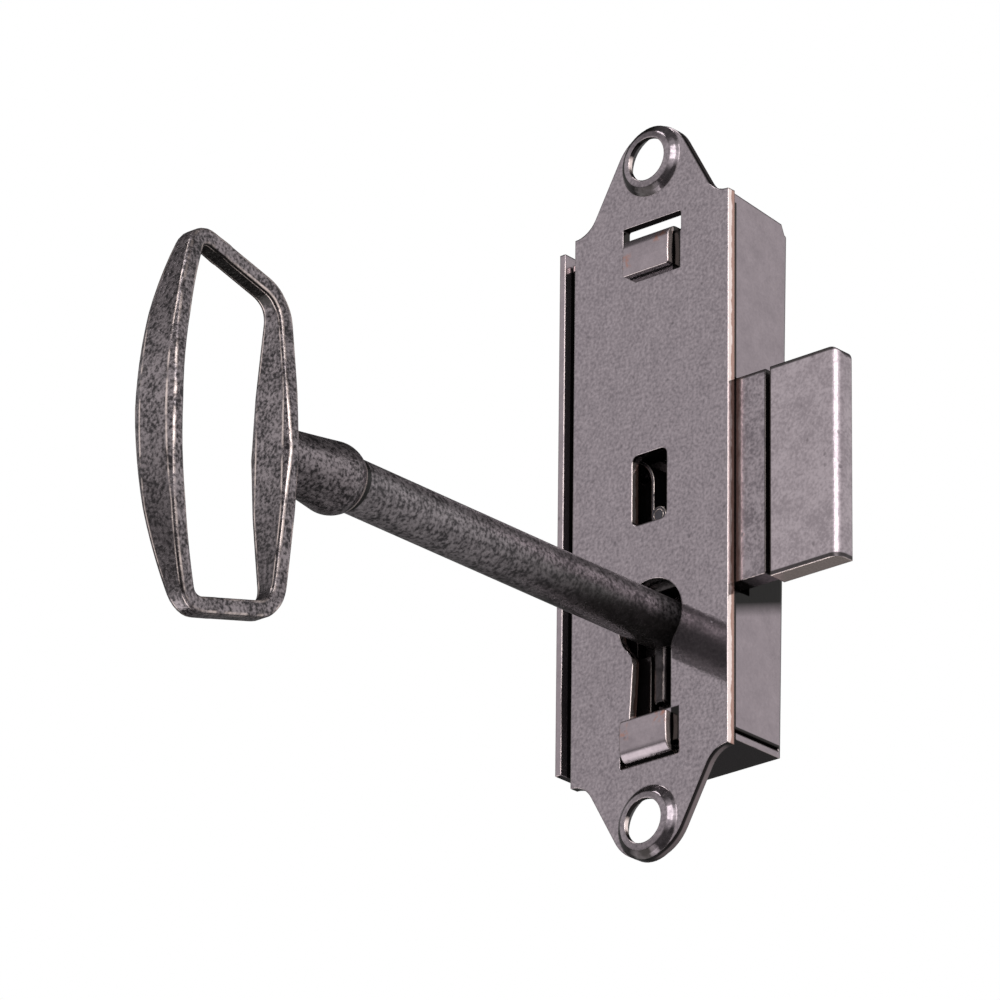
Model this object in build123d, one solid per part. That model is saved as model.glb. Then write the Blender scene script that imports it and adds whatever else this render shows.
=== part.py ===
from build123d import *

import os
from math import asin, atan2, cos, sin

# Clock case lock with its key in the keyhole, in millimetres.
# X runs across the lock to the bolt side, Y runs from the key side into the door, Z runs up the lock.
# The origin is on the key side of the front plate, midway between the two screw holes.

# Front plate
PLATE_WIDTH = 17.0
PLATE_LENGTH = 66.2
PLATE_THICKNESS = 0.85
PLATE_SHIFT = 0.05
SHOULDER_HEIGHT = 25.0
EAR_NOSE_RADIUS = 4.1
EAR_FLARE_RADIUS = 2.6
SCREW_SPACING = 60.0
SCREW_HOLE_DIAMETER = 3.9
DIMPLE_DIAMETER = 6.4
DIMPLE_RISE = 0.65
CENTRE_SLOT_WIDTH = 3.85
CENTRE_SLOT_HEIGHT = 6.4
TAB_SLOT_WIDTH = 6.4
TAB_SLOT_X = 0.15
TOP_SLOT = (22.55, 24.45)
BOTTOM_SLOT = (-24.65, -23.45)

# Case, folded from one sheet
SHEET = 0.6
CASE_LEFT = -10.15
CASE_RIGHT = 8.4
CASE_TOP = 23.25
CASE_BOTTOM = -24.4
DEPTH_AT_TOP = 8.2
DEPTH_AT_BOTTOM = 7.3
WALL_BOTTOM = -23.5
FLAP_LEFT = -7.0
BEND_RADIUS = 0.6
TAB_WIDTH = 5.0
TAB_X = 0.05
TOP_TAB_END = 19.6
BOTTOM_TAB_END = -20.8
TAB_CREASE = 1.3
TAB_BEND_RADIUS = 1.1

# Keyhole and key
KEY_HEIGHT = -11.85
KEYHOLE_DIAMETER = 6.9
KEYHOLE_X = 0.15
KEYHOLE_SLOT_BOTTOM = -20.4
SHAFT_DIAMETER = 4.56
SHAFT_INNER_END = 6.45
BORE_DIAMETER = 2.06
BIT_RADIUS = 7.2
BIT_THICKNESS = 1.2
BIT_FRONT = 1.35
BIT_BACK = 5.4
SOCKET_END = -37.1
BOW_FRONT = -59.9
BOW_BACK = -45.05
BOW_OUTER_HALF_HEIGHT = 16.85
BOW_INNER_HALF_HEIGHT = 13.95
BOW_BAND = 1.3
BOW_WIDTH = 4.3
BOW_NECK_WIDTH = 1.7

# Bolt
BOLT_FRONT = 0.95
BOLT_BACK = 2.8
HEAD_START = 12.3
HEAD_END = 19.55
HEAD_TOP = 7.8
HEAD_BOTTOM = -11.0
HEAD_NOSE_RADIUS = 1.0
HEAD_CORNER_RADIUS = 0.8
TAIL_TOP = 7.75
TAIL_BOTTOM = -10.6
TAIL_START = -5.2
TAIL_END = 11.8
UPPER_ARM_BOTTOM = 3.5
LOWER_ARM_TOP = -3.15
LOWER_ARM_BOTTOM = -9.3
TRAVEL = 4.0
NOTCH_LEFT = -1.2
NOTCH_RIGHT = 1.35
TONGUE_FRONT = 1.9
TONGUE_END = 17.4
TONGUE_TOP = 5.3
TONGUE_BOTTOM = -8.5
BOLT_RIVET_X = 14.9
BOLT_RIVET_HEIGHTS = (2.8, -6.0)

# Studs and pins that are riveted into the back of the case
STUD_X = -1.6
STUD_HEIGHTS = (5.65, -6.3)
STUD_BODY_DIAMETER = 3.2
STUD_PIN_DIAMETER = 1.9
RIVET_SHANK_DIAMETER = 1.8
RIVET_HEAD_DIAMETER = 3.0
RIVET_HEAD_HEIGHT = 0.55
DRILL_PIN_DIAMETER = 1.9
SPRING_POST_DIAMETER = 1.0
SPRING_POST_X = 0.1
SPRING_POST_Z = -2.25
SPRING_THICKNESS = 0.25
SPRING_FRONT = 1.1
SPRING_BACK = 4.6
SPRING_BEND_RADIUS = 2.5
FIT = 0.08


def across(sketch, y_front, y_back):
    """Thickens a sketch drawn in X and Z from the depth y_front to the depth y_back."""
    return extrude(Plane.XZ.offset(-y_back) * sketch, amount=y_back - y_front, dir=(0, -1, 0))


def sideways(sketch, x_left, x_right):
    """Thickens a sketch drawn in Y and Z from x_left to x_right."""
    return extrude(Plane.YZ.offset(x_left) * sketch, amount=x_right - x_left, dir=(1, 0, 0))


def block(x0, x1, y0, y1, z0, z1):
    """Makes a box from its six limits."""
    middle = ((x0 + x1) / 2, (y0 + y1) / 2, (z0 + z1) / 2)
    return Pos(*middle) * Box(x1 - x0, y1 - y0, z1 - z0)


def rod(radius, x, z, y_front, y_back):
    """Makes a round rod along Y."""
    return across(Pos(x, z) * Circle(radius), y_front, y_back)


def turned(profile, x, z):
    """Turns a profile, drawn as radius and depth, about the line along Y through x and z."""
    axis = Axis((x, 0, z), (0, 1, 0))
    return revolve(Pos(x, 0, z) * profile, axis, 360)


def ear_outline():
    """Draws one quarter of the plate's edge: half a shoulder, the flare, the flank and half the nose."""
    nose = Vector(0, PLATE_LENGTH / 2 - EAR_NOSE_RADIUS)
    flare = Vector(PLATE_WIDTH / 2, SHOULDER_HEIGHT + EAR_FLARE_RADIUS)
    between = flare - nose
    lean = asin((EAR_NOSE_RADIUS + EAR_FLARE_RADIUS) / between.length)
    flank = atan2(between.Y, between.X) - lean
    outward = Vector(-sin(flank), cos(flank))
    flank_top = nose + outward * EAR_NOSE_RADIUS
    flank_foot = flare - outward * EAR_FLARE_RADIUS
    nose_middle = nose + (outward + Vector(0, 1)).normalized() * EAR_NOSE_RADIUS
    flare_middle = flare - (outward + Vector(0, 1)).normalized() * EAR_FLARE_RADIUS
    tip = Vector(0, PLATE_LENGTH / 2)
    corner = Vector(PLATE_WIDTH / 2, SHOULDER_HEIGHT)
    edge = ThreePointArc(tip, nose_middle, flank_top)
    edge += Line(flank_top, flank_foot)
    edge += ThreePointArc(flank_foot, flare_middle, corner)
    edge += Line(corner, Vector(PLATE_WIDTH / 2, 0))
    edge += Line(Vector(PLATE_WIDTH / 2, 0), Vector(0, 0))
    edge += Line(Vector(0, 0), tip)
    return make_face(edge)


def keyhole_outline():
    """Draws the keyhole: a round hole with a slot below it that widens a little downwards."""
    slot = Polygon(
        (-2.05, KEYHOLE_SLOT_BOTTOM),
        (2.45, KEYHOLE_SLOT_BOTTOM),
        (2.45, KEY_HEIGHT),
        (-1.5, KEY_HEIGHT),
        align=None,
    )
    outline = Pos(KEYHOLE_X, KEY_HEIGHT) * Circle(KEYHOLE_DIAMETER / 2) + slot
    throat = outline.vertices().filter_by(lambda v: KEY_HEIGHT - 4 < v.Y < KEY_HEIGHT - 1)
    return fillet(throat, 1.6)


def screw_dimple(z):
    """Makes the raised ring round a screw hole, pressed forward so that a screw head sinks in from behind."""
    outer = DIMPLE_DIAMETER / 2
    hole = SCREW_HOLE_DIAMETER / 2
    ring = Polygon(
        (outer, 0),
        (outer - 0.25, -0.3),
        (outer - 0.65, -0.56),
        (hole, -DIMPLE_RISE),
        (hole, -DIMPLE_RISE + 0.45),
        (outer - 0.45, PLATE_THICKNESS),
        (outer, PLATE_THICKNESS),
        align=None,
    )
    return turned(ring, 0, z)


def front_plate():
    """Makes the stamped plate with its two ears, dimpled screw holes, slots and keyhole."""
    quarter = ear_outline()
    half = quarter + mirror(quarter, Plane.YZ)
    outline = Pos(PLATE_SHIFT, 0) * (half + mirror(half, Plane.XZ))
    outline -= RectangleRounded(CENTRE_SLOT_WIDTH, CENTRE_SLOT_HEIGHT, 0.7)
    for low, high in (TOP_SLOT, BOTTOM_SLOT):
        outline -= Pos(TAB_SLOT_X, (low + high) / 2) * RectangleRounded(TAB_SLOT_WIDTH, high - low, 0.2)
    outline -= keyhole_outline()
    for z in (SCREW_SPACING / 2, -SCREW_SPACING / 2):
        outline -= Pos(0, z) * Circle(DIMPLE_DIAMETER / 2)
    plate = across(outline, 0, PLATE_THICKNESS)
    for z in (SCREW_SPACING / 2, -SCREW_SPACING / 2):
        plate += screw_dimple(z)
    return plate


def tab(wall_z, end):
    """Makes a tongue of the top or bottom wall: through the plate's slot, then bent over the plate's face."""
    inward = -1 if end < wall_z else 1
    crease = end - inward * TAB_CREASE
    path = Polygon(
        (PLATE_THICKNESS, wall_z),
        (-0.7, wall_z),
        (-0.82, crease),
        (-0.76, end),
        (-0.76 + SHEET, end),
        (-0.82 + SHEET, crease),
        (-0.7 + SHEET, wall_z + inward * SHEET),
        (PLATE_THICKNESS, wall_z + inward * SHEET),
        align=None,
    )
    outside = path.vertices().sort_by_distance((-0.7, wall_z))[0]
    path = fillet(outside, TAB_BEND_RADIUS)
    strip = sideways(path, TAB_X - TAB_WIDTH / 2, TAB_X + TAB_WIDTH / 2)
    tips = strip.edges().filter_by(Axis.Y).filter_by(lambda e: abs(e.center().Z - end) < 0.01)
    return fillet(tips, 0.2)


def depth_at(z):
    """Gives how far back the case reaches at a height: it gets a little shallower downwards."""
    part = (z - CASE_BOTTOM) / (CASE_TOP - CASE_BOTTOM)
    return DEPTH_AT_BOTTOM + part * (DEPTH_AT_TOP - DEPTH_AT_BOTTOM)


def case_block(inset, front):
    """Makes the case as a full block with a leaning back, smaller by the inset except at the front."""
    low = CASE_BOTTOM + inset
    high = CASE_TOP - inset
    side = Polygon(
        (front, low),
        (depth_at(low) - inset, low),
        (depth_at(high) - inset, high),
        (front, high),
        align=None,
    )
    return sideways(side, CASE_LEFT + inset, CASE_RIGHT - inset)


def wall_lip(x, front, top_front, top_back):
    """Makes the part of a side wall that stands higher than the top wall, with a sloping upper edge."""
    back = depth_at(CASE_TOP) - BEND_RADIUS
    lip = Polygon(
        (front, CASE_TOP - SHEET),
        (front, top_front),
        (back - 0.4, top_back),
        (back, top_back - 0.9),
        (back, CASE_TOP - SHEET),
        align=None,
    )
    return sideways(lip, x, x + SHEET)


def case_shell():
    """Makes the folded case: a back with four walls, two tabs, the bolt's opening and the rivet holes."""
    outer = case_block(0, PLATE_THICKNESS)
    outer = fillet(outer.faces().sort_by(Axis.Y)[-1].edges(), BEND_RADIUS)
    case = outer - case_block(SHEET, 0)

    # The side walls stand a little higher than the top wall, and the left one reaches past the plate's edge.
    right_wall = CASE_RIGHT - SHEET
    case += wall_lip(right_wall, PLATE_THICKNESS, 24.87, 24.15)
    case += wall_lip(CASE_LEFT, 0, 24.1, 23.9)
    case += block(CASE_LEFT, CASE_LEFT + SHEET, 0, PLATE_THICKNESS, WALL_BOTTOM, CASE_TOP)

    # The walls aren't joined at the corners: slits part the side walls from the top and bottom walls.
    back_of_slit = DEPTH_AT_BOTTOM - BEND_RADIUS
    case -= block(right_wall, CASE_RIGHT, 0, back_of_slit, CASE_BOTTOM + SHEET, WALL_BOTTOM)
    case -= block(CASE_LEFT, FLAP_LEFT, 0, DEPTH_AT_TOP, CASE_BOTTOM, WALL_BOTTOM)
    for x in (CASE_LEFT + SHEET, right_wall - 0.15):
        case -= block(x, x + 0.15, 0, DEPTH_AT_TOP - BEND_RADIUS, CASE_TOP - SHEET, CASE_TOP)

    # The bolt slides out through a notch that starts at the plate.
    case -= block(
        right_wall, CASE_RIGHT,
        0, BOLT_BACK + 0.12,
        HEAD_BOTTOM - 0.15, HEAD_TOP + 0.15,
    )
    for x, z in rivet_places():
        case -= rod(RIVET_SHANK_DIAMETER / 2, x, z, depth_at(z) - 2 * SHEET, depth_at(z) + SHEET)
    case += tab(CASE_TOP, TOP_TAB_END)
    case += tab(CASE_BOTTOM, BOTTOM_TAB_END)
    return case


def rivet_places():
    """Lists where something is riveted into the back of the case."""
    places = [(STUD_X, z) for z in STUD_HEIGHTS]
    places.append((0, KEY_HEIGHT))
    places.append((SPRING_POST_X, SPRING_POST_Z))
    return places


def rivet_end(x, z):
    """Makes the shank in the case's back and the domed head that is hammered over behind it."""
    radius = RIVET_HEAD_DIAMETER / 2
    ball = (radius ** 2 + RIVET_HEAD_HEIGHT ** 2) / (2 * RIVET_HEAD_HEIGHT)
    back = depth_at(z) + 0.04
    head = Pos(x, back + RIVET_HEAD_HEIGHT - ball, z) * Sphere(ball)
    head &= rod(ball, x, z, back, back + ball)
    return head + rod(RIVET_SHANK_DIAMETER / 2, x, z, back - SHEET - 0.1, back)


def guide_studs():
    """Makes the studs that guide the bolt: a shoulder keeps it forward and a pin runs in each slot."""
    studs = []
    shoulder = BOLT_BACK + 0.1
    for z in STUD_HEIGHTS:
        body = rod(STUD_BODY_DIAMETER / 2, STUD_X, z, shoulder, depth_at(z) - SHEET - 0.04)
        pin = rod(STUD_PIN_DIAMETER / 2, STUD_X, z, PLATE_THICKNESS + 0.15, shoulder)
        pin = chamfer(pin.edges().group_by(Axis.Y)[0], 0.2)
        studs.append(body + pin + rivet_end(STUD_X, z))
    return Compound(children=studs)


def drill_pin():
    """Makes the pin that the hollow end of the key turns on."""
    end = depth_at(KEY_HEIGHT) - SHEET - 0.04
    pin = rod(DRILL_PIN_DIAMETER / 2, 0, KEY_HEIGHT, PLATE_THICKNESS + 0.2, end)
    pin = chamfer(pin.edges().group_by(Axis.Y)[0], 0.5)
    return pin + rivet_end(0, KEY_HEIGHT)


def spring_post():
    """Makes the post that the friction spring is wound on."""
    end = depth_at(SPRING_POST_Z) - SHEET
    post = rod(SPRING_POST_DIAMETER / 2, SPRING_POST_X, SPRING_POST_Z, SPRING_FRONT, end)
    return post + rivet_end(SPRING_POST_X, SPRING_POST_Z)


def friction_spring():
    """Makes the leaf spring: an eye round its post, a leaf and a crest under the bolt's upper arm."""
    half = SPRING_THICKNESS / 2
    eye = SPRING_POST_DIAMETER / 2 + 0.02
    leaf_x = SPRING_POST_X - eye - half
    bend_z = UPPER_ARM_BOTTOM - 0.05 - half - SPRING_BEND_RADIUS
    bend = (leaf_x - SPRING_BEND_RADIUS, bend_z)
    strip = Pos(SPRING_POST_X, SPRING_POST_Z) * (Circle(eye + SPRING_THICKNESS) - Circle(eye))
    strip += Pos(leaf_x, (SPRING_POST_Z + bend_z) / 2) * Rectangle(SPRING_THICKNESS, bend_z - SPRING_POST_Z)
    outside = CenterArc(bend, SPRING_BEND_RADIUS + half, 0, 125)
    inside = CenterArc(bend, SPRING_BEND_RADIUS - half, 0, 125)
    edge = outside + inside
    edge += Line(outside @ 0, inside @ 0)
    edge += Line(outside @ 1, inside @ 1)
    strip += make_face(edge)
    return across(strip, SPRING_FRONT, SPRING_BACK)


def bolt_tail():
    """Makes the sliding plate: two guided arms, a foot with the notch that the key drives, and a tongue."""
    spine = SHAFT_DIAMETER / 2 + TRAVEL + 0.4
    window_end = spine - 1.2
    plate = Polygon(
        (TAIL_START, TAIL_TOP),
        (TAIL_END, TAIL_TOP),
        (TAIL_END, TAIL_BOTTOM),
        (spine, TAIL_BOTTOM),
        (spine, LOWER_ARM_BOTTOM),
        (TAIL_START, LOWER_ARM_BOTTOM),
        align=None,
    )
    plate -= Polygon(
        (TAIL_START, UPPER_ARM_BOTTOM),
        (window_end, UPPER_ARM_BOTTOM),
        (window_end, LOWER_ARM_TOP),
        (TAIL_START, LOWER_ARM_TOP),
        align=None,
    )
    plate = fillet(plate.vertices().filter_by(lambda v: abs(v.X - window_end) < 0.01), 1.0)
    for z in STUD_HEIGHTS:
        width = STUD_PIN_DIAMETER + 2 * FIT
        length = width + TRAVEL + 0.1
        plate -= Pos(STUD_X - width / 2 + length / 2, z) * SlotOverall(length, width)
    tail = across(plate, BOLT_FRONT, BOLT_BACK)
    tail += bolt_foot()
    tail += block(TAIL_END - 0.5, TONGUE_END, TONGUE_FRONT, BOLT_BACK, TONGUE_BOTTOM, TONGUE_TOP)
    for z in BOLT_RIVET_HEIGHTS:
        tail -= rod(RIVET_SHANK_DIAMETER / 2, BOLT_RIVET_X, z, TONGUE_FRONT, BOLT_BACK)
    return tail


def bolt_foot():
    """Makes the thinner foot below the key, with the notch that the key's bit pushes."""
    leg_right = -SHAFT_DIAMETER / 2 - 0.35
    left_prong_top = KEY_HEIGHT - 2.6
    right_prong_top = KEY_HEIGHT - 4.2
    notch_floor = KEY_HEIGHT - BIT_RADIUS - 0.4
    foot_bottom = notch_floor - 1.7
    foot_right = NOTCH_RIGHT + 2.6
    outline = Polygon(
        (TAIL_START, LOWER_ARM_BOTTOM + 1.5),
        (leg_right, LOWER_ARM_BOTTOM + 1.5),
        (leg_right, left_prong_top),
        (NOTCH_LEFT, left_prong_top),
        (NOTCH_LEFT, notch_floor),
        (NOTCH_RIGHT, notch_floor),
        (NOTCH_RIGHT, right_prong_top),
        (foot_right, right_prong_top),
        (foot_right, foot_bottom),
        (TAIL_START, foot_bottom),
        align=None,
    )
    corners = outline.vertices().filter_by(lambda v: v.Y < foot_bottom + 0.01 or v.X > foot_right - 0.01)
    outline = fillet(corners, 0.6)
    return across(outline, BOLT_FRONT + 0.8, BOLT_BACK)


def bolt_head():
    """Makes the block that locks the door, with a rounded front edge and a pocket for the tongue."""
    plan = Polygon(
        (HEAD_START, BOLT_FRONT),
        (HEAD_END, BOLT_FRONT),
        (HEAD_END, BOLT_BACK),
        (HEAD_START, BOLT_BACK),
        align=None,
    )
    nose = plan.vertices().filter_by(lambda v: v.X > HEAD_END - 0.01 and v.Y < BOLT_FRONT + 0.01)
    plan = fillet(nose, HEAD_NOSE_RADIUS)
    head = extrude(Pos(0, 0, HEAD_BOTTOM) * plan, amount=HEAD_TOP - HEAD_BOTTOM, dir=(0, 0, 1))
    head -= head_corner()
    head -= block(HEAD_START, TONGUE_END, TONGUE_FRONT, BOLT_BACK, TONGUE_BOTTOM, TONGUE_TOP)
    for z in BOLT_RIVET_HEIGHTS:
        head -= rod(RIVET_SHANK_DIAMETER / 2, BOLT_RIVET_X, z, BOLT_FRONT + 0.5, TONGUE_FRONT)
    return head


def head_corner():
    """Makes what is missing at the head's upper outer corner, which is rounded."""
    corner = Pos(HEAD_END - HEAD_CORNER_RADIUS / 2, HEAD_TOP - HEAD_CORNER_RADIUS / 2) * Rectangle(
        HEAD_CORNER_RADIUS, HEAD_CORNER_RADIUS
    )
    corner -= Pos(HEAD_END - HEAD_CORNER_RADIUS, HEAD_TOP - HEAD_CORNER_RADIUS) * Circle(HEAD_CORNER_RADIUS)
    return across(corner, BOLT_FRONT, BOLT_BACK)


def bolt_rivets():
    """Makes the two rivets of the bolt head, with flat round heads on the back."""
    rivets = []
    for z in BOLT_RIVET_HEIGHTS:
        cap = rod(RIVET_HEAD_DIAMETER / 2, BOLT_RIVET_X, z, BOLT_BACK, BOLT_BACK + 0.45)
        cap = chamfer(cap.edges().group_by(Axis.Y)[-1], 0.2)
        rivets.append(cap + rod(RIVET_SHANK_DIAMETER / 2, BOLT_RIVET_X, z, BOLT_FRONT + 0.5, BOLT_BACK))
    return Compound(children=rivets)


def key_shaft():
    """Makes the round shaft, bored at its inner end for the drill pin and slotted for the bit."""
    shaft = rod(SHAFT_DIAMETER / 2, 0, KEY_HEIGHT, shaft_outer_end(), SHAFT_INNER_END)
    shaft = fillet(shaft.edges().group_by(Axis.Y)[-1], 0.4)
    shaft -= rod(BORE_DIAMETER / 2, 0, KEY_HEIGHT, PLATE_THICKNESS - 0.5, SHAFT_INNER_END)
    return shaft - bit_blank()


def shaft_outer_end():
    """Gives the depth where the shaft ends inside the socket of the bow."""
    return SOCKET_END - 6.5


def bit_blank():
    """Makes the full rectangular blade of the bit, from inside the shaft's wall to its tip."""
    root = KEY_HEIGHT - BORE_DIAMETER / 2 - 0.35
    return block(
        -BIT_THICKNESS / 2, BIT_THICKNESS / 2,
        BIT_FRONT, BIT_BACK,
        KEY_HEIGHT - BIT_RADIUS, root,
    )


def key_bit():
    """Makes the bit, set into a slot in the shaft."""
    bit = bit_blank()
    tips = bit.edges().filter_by(Axis.X).group_by(Axis.Z)[0]
    bit = fillet(tips, 0.3)
    front = bit.edges().filter_by(Axis.Z).group_by(Axis.Y)[0]
    return chamfer(front, 0.15)


def bow_outline():
    """Draws the loop of the bow seen from the side, with the key's line as its middle."""
    front = ThreePointArc(
        (bow_corner_y(), -BOW_OUTER_HALF_HEIGHT),
        (BOW_FRONT, 0),
        (bow_corner_y(), BOW_OUTER_HALF_HEIGHT),
    )
    edge = front
    edge += Line((bow_corner_y(), BOW_OUTER_HALF_HEIGHT), (BOW_BACK, BOW_INNER_HALF_HEIGHT))
    edge += Line((BOW_BACK, BOW_INNER_HALF_HEIGHT), (BOW_BACK, -BOW_INNER_HALF_HEIGHT))
    edge += Line((BOW_BACK, -BOW_INNER_HALF_HEIGHT), (bow_corner_y(), -BOW_OUTER_HALF_HEIGHT))
    face = make_face(edge)
    face = fillet(face.vertices().group_by(Axis.X)[0], 3.2)
    return fillet(face.vertices().group_by(Axis.X)[-1], 2.6)


def bow_corner_y():
    """Gives the depth of the bow's two outer corners before they are rounded."""
    return BOW_FRONT + 3.8


def bar_width_outline(reach, waist):
    """Draws how wide a bar of the bow is along its height: widest at the key's line, narrow at both ends."""
    half = BOW_WIDTH / 2
    neck = BOW_NECK_WIDTH / 2
    far = BOW_OUTER_HALF_HEIGHT + 1
    edge = ThreePointArc((half, 0), waist, (neck, reach))
    edge += Line((neck, reach), (neck, far))
    edge += Line((neck, far), (0, far))
    edge += Line((0, far), (0, 0))
    edge += Line((0, 0), (half, 0))
    quarter = make_face(edge)
    side = quarter + mirror(quarter, Plane.XZ)
    return side + mirror(side, Plane.YZ)


def key_bow():
    """Makes the bow, a loop whose two upright bars swell in the middle, with the socket for the shaft."""
    loop = bow_outline() - offset(bow_outline(), -BOW_BAND, kind=Kind.INTERSECTION)
    loop = sideways(Pos(0, KEY_HEIGHT) * loop, -BOW_WIDTH / 2, BOW_WIDTH / 2)
    middle = (BOW_FRONT + BOW_BACK) / 2
    outer_bar = across(Pos(0, KEY_HEIGHT) * bar_width_outline(13.9, (1.62, 8.2)), BOW_FRONT - 1, middle)
    inner_bar = across(Pos(0, KEY_HEIGHT) * bar_width_outline(12.3, (1.38, 7.3)), middle, BOW_BACK + 1)
    bow = (loop & outer_bar) + (loop & inner_bar)
    return bow + key_socket()


def key_socket():
    """Makes the socket of the bow, which swells towards its open end and holds the shaft."""
    open_end = SOCKET_END
    edge = Line((0, BOW_BACK - 0.3), (2.5, BOW_BACK - 0.3))
    edge += Line((2.5, BOW_BACK - 0.3), (2.5, BOW_BACK))
    edge += ThreePointArc((2.5, BOW_BACK), (2.93, BOW_BACK + 3.6), (3.15, open_end - 2.0))
    edge += ThreePointArc((3.15, open_end - 2.0), (3.02, open_end - 0.7), (2.62, open_end))
    edge += Line((2.62, open_end), (SHAFT_DIAMETER / 2 + 0.02, open_end))
    edge += Line((SHAFT_DIAMETER / 2 + 0.02, open_end), (SHAFT_DIAMETER / 2 + 0.02, shaft_outer_end()))
    edge += Line((SHAFT_DIAMETER / 2 + 0.02, shaft_outer_end()), (0, shaft_outer_end()))
    edge += Line((0, shaft_outer_end()), (0, BOW_BACK - 0.3))
    return turned(make_face(edge), 0, KEY_HEIGHT)


PIECES = {
    "front_plate": front_plate,
    "case_shell": case_shell,
    "bolt_tail": bolt_tail,
    "bolt_head": bolt_head,
    "bolt_rivets": bolt_rivets,
    "guide_studs": guide_studs,
    "drill_pin": drill_pin,
    "spring_post": spring_post,
    "friction_spring": friction_spring,
    "key_bow": key_bow,
    "key_shaft": key_shaft,
    "key_bit": key_bit,
}

os.makedirs("parts", exist_ok=True)
for name, make in PIECES.items():
    piece = make()
    export_step(piece, f"parts/{name}.step")
    print(name, round(piece.volume, 2))
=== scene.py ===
# %% [markdown]
# # A clock case lock with its key
# The lock is a small folded steel box behind an eared plate. A hollow key stands in the keyhole, and the
# bolt sticks out on the right. The imported CAD model comes first, because every piece made here has to sit
# on it. The box round it is kept, and the floor is set under it.

# %% Load the imported model
from math import cos, pi, radians, sin, sqrt

import bpy
from mathutils import Matrix, Vector


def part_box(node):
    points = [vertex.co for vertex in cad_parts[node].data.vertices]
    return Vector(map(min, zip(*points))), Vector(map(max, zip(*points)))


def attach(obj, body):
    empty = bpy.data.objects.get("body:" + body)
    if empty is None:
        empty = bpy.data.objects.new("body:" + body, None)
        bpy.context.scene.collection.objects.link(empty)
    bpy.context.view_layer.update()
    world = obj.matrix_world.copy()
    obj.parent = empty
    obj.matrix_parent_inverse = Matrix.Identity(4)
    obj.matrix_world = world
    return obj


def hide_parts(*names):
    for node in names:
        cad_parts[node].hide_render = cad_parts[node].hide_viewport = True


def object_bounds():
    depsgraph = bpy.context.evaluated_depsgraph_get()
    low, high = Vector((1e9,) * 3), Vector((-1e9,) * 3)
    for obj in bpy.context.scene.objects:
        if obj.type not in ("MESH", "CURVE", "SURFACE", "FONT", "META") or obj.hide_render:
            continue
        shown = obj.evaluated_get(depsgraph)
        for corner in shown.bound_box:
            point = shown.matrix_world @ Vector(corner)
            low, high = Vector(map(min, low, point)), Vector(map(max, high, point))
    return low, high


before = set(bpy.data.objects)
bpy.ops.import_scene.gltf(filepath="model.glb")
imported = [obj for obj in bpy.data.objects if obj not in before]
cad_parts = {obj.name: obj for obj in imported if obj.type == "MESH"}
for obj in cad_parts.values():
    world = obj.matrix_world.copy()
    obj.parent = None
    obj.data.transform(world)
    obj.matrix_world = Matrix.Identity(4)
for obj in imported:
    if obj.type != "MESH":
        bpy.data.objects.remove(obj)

cad_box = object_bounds()
MM = 0.001


def new_object(name, data):
    made = bpy.data.objects.new(name, data)
    bpy.context.collection.objects.link(made)
    return made


print("nodes:", sorted(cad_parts))
print("box in mm:", [round(v / MM, 2) for corner in cad_box for v in corner])

# %% [markdown]
# ## Camera
# The picture was taken from low on the bolt's side with a long lens, so upright lines stay nearly parallel.
# We place a camera by its three directions: right, up and back. The lock leans a little in the picture,
# which is the small roll. The two shifts move the camera sideways until the lock sits where it does in the
# photograph.

# %% Camera
AZIMUTH = radians(41.57)
ELEVATION = radians(-22.81)
ROLL = radians(0.718)
DISTANCE = 720.3 * MM
FOCAL_PIXELS = 8616
PICTURE_WIDTH = 1000
SENSOR = 36
SHIFT_RIGHT = 12.49 * MM
SHIFT_UP = 1.134 * MM
NEAR_LIMIT = 0.05
FAR_LIMIT = 20


def add_camera():
    back = Vector((sin(AZIMUTH) * cos(ELEVATION), -cos(AZIMUTH) * cos(ELEVATION), sin(ELEVATION)))
    level = Vector((0, 0, 1)).cross(back).normalized()
    upright = back.cross(level)
    right = level * cos(ROLL) + upright * sin(ROLL)
    up = upright * cos(ROLL) - level * sin(ROLL)
    data = bpy.data.cameras.new("camera")
    data.sensor_width = SENSOR
    data.lens = FOCAL_PIXELS / PICTURE_WIDTH * SENSOR
    data.clip_start = NEAR_LIMIT
    data.clip_end = FAR_LIMIT
    camera = new_object("camera", data)
    place = back * DISTANCE - right * SHIFT_RIGHT - up * SHIFT_UP
    turn = Matrix((right, up, back)).transposed()
    camera.matrix_world = Matrix.Translation(place) @ turn.to_4x4()
    bpy.context.scene.camera = camera
    return camera


camera = add_camera()
print("camera:", [round(v, 4) for v in camera.location], "lens", round(camera.data.lens, 1))

# %% [markdown]
# ## Small helpers for nodes
# Materials and Geometry Nodes trees are both made of nodes and links. One helper adds a node and sets its
# inputs: a value is set on the socket, and a socket is linked to it. The others are short ways to the nodes
# that are used most: sums, mixes, a change of range, and the three parts of a vector.

# %% Node helpers
def add_node(tree, kind, inputs=None, **settings):
    node = tree.nodes.new(kind)
    for key, value in settings.items():
        setattr(node, key, value)
    for key, value in (inputs or {}).items():
        socket = node.inputs[key]
        if isinstance(value, bpy.types.NodeSocket):
            tree.links.new(value, socket)
        else:
            socket.default_value = value
    return node


def math_node(tree, operation, *values, clamp=False):
    node = add_node(tree, "ShaderNodeMath", dict(enumerate(values)), operation=operation)
    node.use_clamp = clamp
    return node.outputs[0]


def minus(tree, first, second):
    return math_node(tree, "SUBTRACT", first, second)


def product(tree, *values):
    result = values[0]
    for value in values[1:]:
        result = math_node(tree, "MULTIPLY", result, value)
    return result


def vector_node(tree, operation, *values, **inputs):
    inputs = {**dict(enumerate(values)), **inputs}
    return add_node(tree, "ShaderNodeVectorMath", inputs, operation=operation).outputs


def axes(tree, vector):
    return add_node(tree, "ShaderNodeSeparateXYZ", {0: vector}).outputs


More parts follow.
